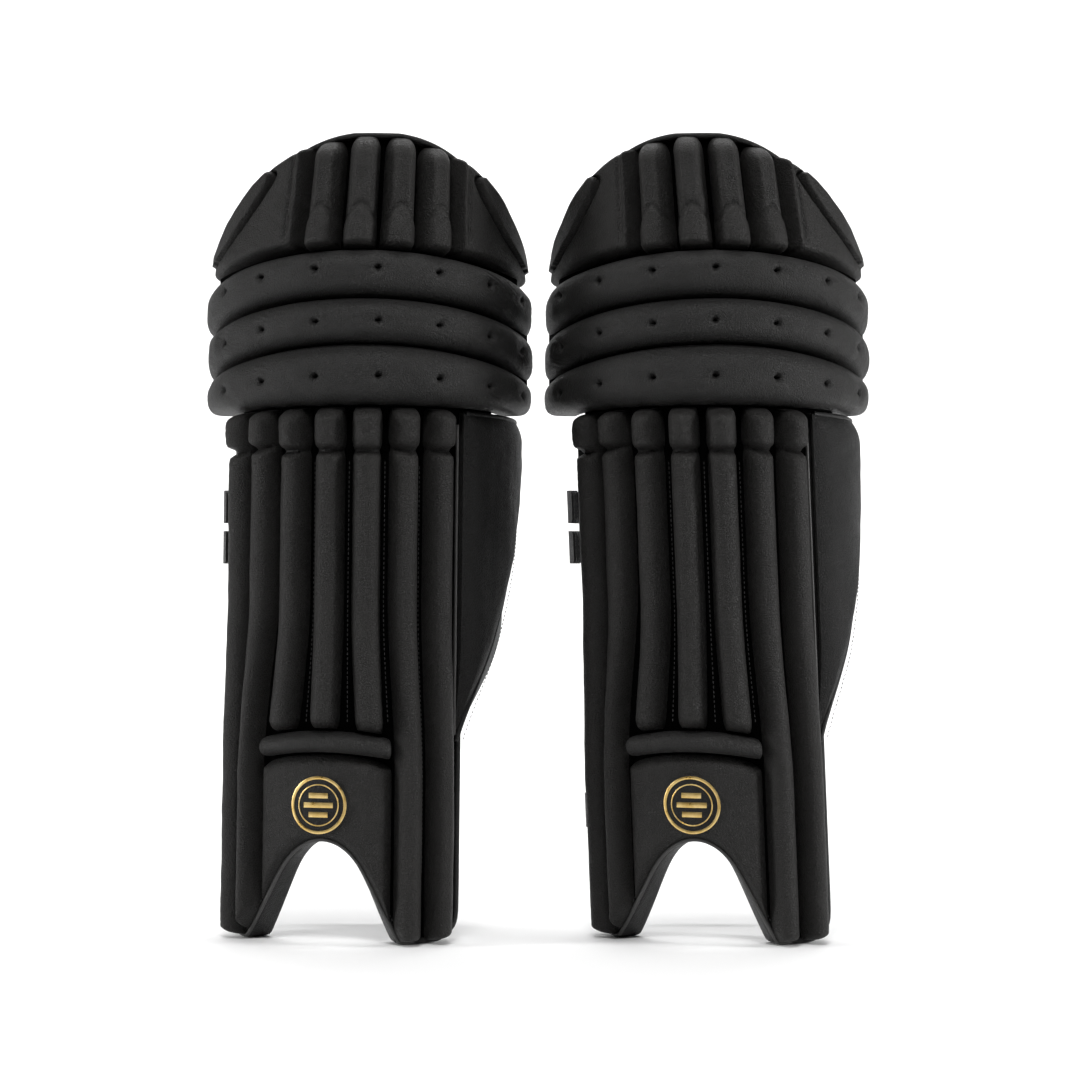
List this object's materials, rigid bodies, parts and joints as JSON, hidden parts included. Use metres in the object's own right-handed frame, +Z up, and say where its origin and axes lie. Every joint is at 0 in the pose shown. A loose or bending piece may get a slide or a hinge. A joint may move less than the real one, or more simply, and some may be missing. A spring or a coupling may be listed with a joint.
{
  "type": "pair of leg guards",
  "caption": "Pair of tall padded leg guards in black leather with upright shin ribs, arched knee rolls, a domed top, a side wing and calf straps.",
  "frame": {"origin": "centre of the floor rectangle under the standing pair", "axes": "+Z up; -Y towards the viewer in front of the pads, the way their fronts face; +X to that viewer's right, from the right-leg pad to the left-leg pad"},
  "size_m": [0.5852, 0.2666, 0.698],
  "materials": {
    "black_leather": "semi-matte black synthetic leather with a fine grain",
    "lining_fabric": "black woven lining fabric",
    "split_cane": "dry split cane",
    "strap_webbing": "black woven strap webbing",
    "loop_patch": "black brushed loop fabric",
    "gold_foil": "gold foil print on black"
  },
  "bodies": {
    "right_pad_shin": {"right_pad_shin_shell": "black_leather", "right_pad_shin_lining": "lining_fabric", "right_pad_cane_mat": "split_cane", "right_pad_shin_rib_1": "black_leather", "right_pad_shin_rib_2": "black_leather", "right_pad_shin_rib_3": "black_leather", "right_pad_shin_rib_4": "black_leather", "right_pad_shin_rib_5": "black_leather", "right_pad_shin_rib_6": "black_leather", "right_pad_shin_rib_7": "black_leather", "right_pad_instep_bar": "black_leather", "right_pad_instep_panel": "black_leather", "right_pad_badge": "gold_foil", "right_pad_side_wrap": "lining_fabric", "right_pad_strap_patch": "loop_patch"},
    "right_pad_wing": {"right_pad_wing": "black_leather"},
    "right_pad_knee_roll_3": {"right_pad_knee_roll_3": "black_leather"},
    "right_pad_knee_roll_2": {"right_pad_knee_roll_2": "black_leather", "right_pad_knee_cup": "lining_fabric"},
    "right_pad_knee_roll_1": {"right_pad_knee_roll_1": "black_leather"},
    "right_pad_top_hat": {"right_pad_top_hat_back": "black_leather", "right_pad_top_rib_1": "black_leather", "right_pad_top_rib_2": "black_leather", "right_pad_top_rib_3": "black_leather", "right_pad_top_rib_4": "black_leather", "right_pad_top_bolster_plain_side": "black_leather", "right_pad_top_bolster_wing_side": "black_leather"},
    "right_pad_calf_strap_upper": {"right_pad_calf_strap_upper": "strap_webbing"},
    "right_pad_calf_strap_lower": {"right_pad_calf_strap_lower": "strap_webbing"},
    "right_pad_ankle_strap": {"right_pad_ankle_strap": "strap_webbing"},
    "left_pad_shin": {"left_pad_shin_shell": "black_leather", "left_pad_shin_lining": "lining_fabric", "left_pad_cane_mat": "split_cane", "left_pad_shin_rib_1": "black_leather", "left_pad_shin_rib_2": "black_leather", "left_pad_shin_rib_3": "black_leather", "left_pad_shin_rib_4": "black_leather", "left_pad_shin_rib_5": "black_leather", "left_pad_shin_rib_6": "black_leather", "left_pad_shin_rib_7": "black_leather", "left_pad_instep_bar": "black_leather", "left_pad_instep_panel": "black_leather", "left_pad_badge": "gold_foil", "left_pad_side_wrap": "lining_fabric", "left_pad_strap_patch": "loop_patch"},
    "left_pad_wing": {"left_pad_wing": "black_leather"},
    "left_pad_knee_roll_3": {"left_pad_knee_roll_3": "black_leather"},
    "left_pad_knee_roll_2": {"left_pad_knee_roll_2": "black_leather", "left_pad_knee_cup": "lining_fabric"},
    "left_pad_knee_roll_1": {"left_pad_knee_roll_1": "black_leather"},
    "left_pad_top_hat": {"left_pad_top_hat_back": "black_leather", "left_pad_top_rib_1": "black_leather", "left_pad_top_rib_2": "black_leather", "left_pad_top_rib_3": "black_leather", "left_pad_top_rib_4": "black_leather", "left_pad_top_bolster_plain_side": "black_leather", "left_pad_top_bolster_wing_side": "black_leather"},
    "left_pad_calf_strap_upper": {"left_pad_calf_strap_upper": "strap_webbing"},
    "left_pad_calf_strap_lower": {"left_pad_calf_strap_lower": "strap_webbing"},
    "left_pad_ankle_strap": {"left_pad_ankle_strap": "strap_webbing"}
  },
  "joints": [
    {"name": "right_pad_knee_roll_3_flex", "type": "hinge", "parent": "right_pad_shin", "child": "right_pad_knee_roll_3", "pos_m": [-0.151, 0.0187, 0.46], "axis": [-1, 0, 0], "range_deg": [0, 9]},
    {"name": "right_pad_knee_roll_2_flex", "type": "hinge", "parent": "right_pad_knee_roll_3", "child": "right_pad_knee_roll_2", "pos_m": [-0.151, 0.0187, 0.486], "axis": [-1, 0, 0], "range_deg": [0, 9]},
    {"name": "right_pad_knee_roll_1_flex", "type": "hinge", "parent": "right_pad_knee_roll_2", "child": "right_pad_knee_roll_1", "pos_m": [-0.151, 0.0187, 0.5275], "axis": [-1, 0, 0], "range_deg": [0, 9]},
    {"name": "right_pad_top_hat_flex", "type": "hinge", "parent": "right_pad_knee_roll_1", "child": "right_pad_top_hat", "pos_m": [-0.151, 0.0187, 0.568], "axis": [-1, 0, 0], "range_deg": [0, 9]},
    {"name": "right_pad_wing_swing", "type": "hinge", "parent": "right_pad_shin", "child": "right_pad_wing", "pos_m": [-0.06784, -0.07996, 0.463], "axis": [0, 0, -1], "range_deg": [0, 15]},
    {"name": "right_pad_calf_strap_upper_open", "type": "hinge", "parent": "right_pad_shin", "child": "right_pad_calf_strap_upper", "pos_m": [-0.036, 0.0477, 0.3785], "axis": [0, 0, -1], "range_deg": [0, 90]},
    {"name": "right_pad_calf_strap_lower_open", "type": "hinge", "parent": "right_pad_shin", "child": "right_pad_calf_strap_lower", "pos_m": [-0.03643, 0.0477, 0.3425], "axis": [0, 0, -1], "range_deg": [0, 90]},
    {"name": "right_pad_ankle_strap_open", "type": "hinge", "parent": "right_pad_shin", "child": "right_pad_ankle_strap", "pos_m": [-0.08421, 0.0387, 0.109], "axis": [0, 0, -1], "range_deg": [0, 90]},
    {"name": "left_pad_knee_roll_3_flex", "type": "hinge", "parent": "left_pad_shin", "child": "left_pad_knee_roll_3", "pos_m": [0.151, 0.0187, 0.46], "axis": [-1, 0, 0], "range_deg": [0, 9]},
    {"name": "left_pad_knee_roll_2_flex", "type": "hinge", "parent": "left_pad_knee_roll_3", "child": "left_pad_knee_roll_2", "pos_m": [0.151, 0.0187, 0.486], "axis": [-1, 0, 0], "range_deg": [0, 9]},
    {"name": "left_pad_knee_roll_1_flex", "type": "hinge", "parent": "left_pad_knee_roll_2", "child": "left_pad_knee_roll_1", "pos_m": [0.151, 0.0187, 0.5275], "axis": [-1, 0, 0], "range_deg": [0, 9]},
    {"name": "left_pad_top_hat_flex", "type": "hinge", "parent": "left_pad_knee_roll_1", "child": "left_pad_top_hat", "pos_m": [0.151, 0.0187, 0.568], "axis": [-1, 0, 0], "range_deg": [0, 9]},
    {"name": "left_pad_wing_swing", "type": "hinge", "parent": "left_pad_shin", "child": "left_pad_wing", "pos_m": [0.23416, -0.07996, 0.463], "axis": [0, 0, -1], "range_deg": [0, 15]},
    {"name": "left_pad_calf_strap_upper_open", "type": "hinge", "parent": "left_pad_shin", "child": "left_pad_calf_strap_upper", "pos_m": [0.27038, 0.0477, 0.3785], "axis": [0, 0, -1], "range_deg": [0, 90]},
    {"name": "left_pad_calf_strap_lower_open", "type": "hinge", "parent": "left_pad_shin", "child": "left_pad_calf_strap_lower", "pos_m": [0.27181, 0.0477, 0.3425], "axis": [0, 0, -1], "range_deg": [0, 90]},
    {"name": "left_pad_ankle_strap_open", "type": "hinge", "parent": "left_pad_shin", "child": "left_pad_ankle_strap", "pos_m": [0.23614, 0.0387, 0.109], "axis": [0, 0, -1], "range_deg": [0, 90]},
    {"name": "pair_spread", "type": "slide", "parent": "right_pad_shin", "child": "left_pad_shin", "axis": [1, 0, 0], "range_m": [0, 0.3]}
  ],
  "couplings": [
    {"joint": "right_pad_knee_roll_2_flex", "follows": "right_pad_knee_roll_3_flex", "ratio": 1},
    {"joint": "right_pad_knee_roll_1_flex", "follows": "right_pad_knee_roll_3_flex", "ratio": 1},
    {"joint": "right_pad_top_hat_flex", "follows": "right_pad_knee_roll_3_flex", "ratio": 1},
    {"joint": "left_pad_knee_roll_2_flex", "follows": "left_pad_knee_roll_3_flex", "ratio": 1},
    {"joint": "left_pad_knee_roll_1_flex", "follows": "left_pad_knee_roll_3_flex", "ratio": 1},
    {"joint": "left_pad_top_hat_flex", "follows": "left_pad_knee_roll_3_flex", "ratio": 1}
  ]
}
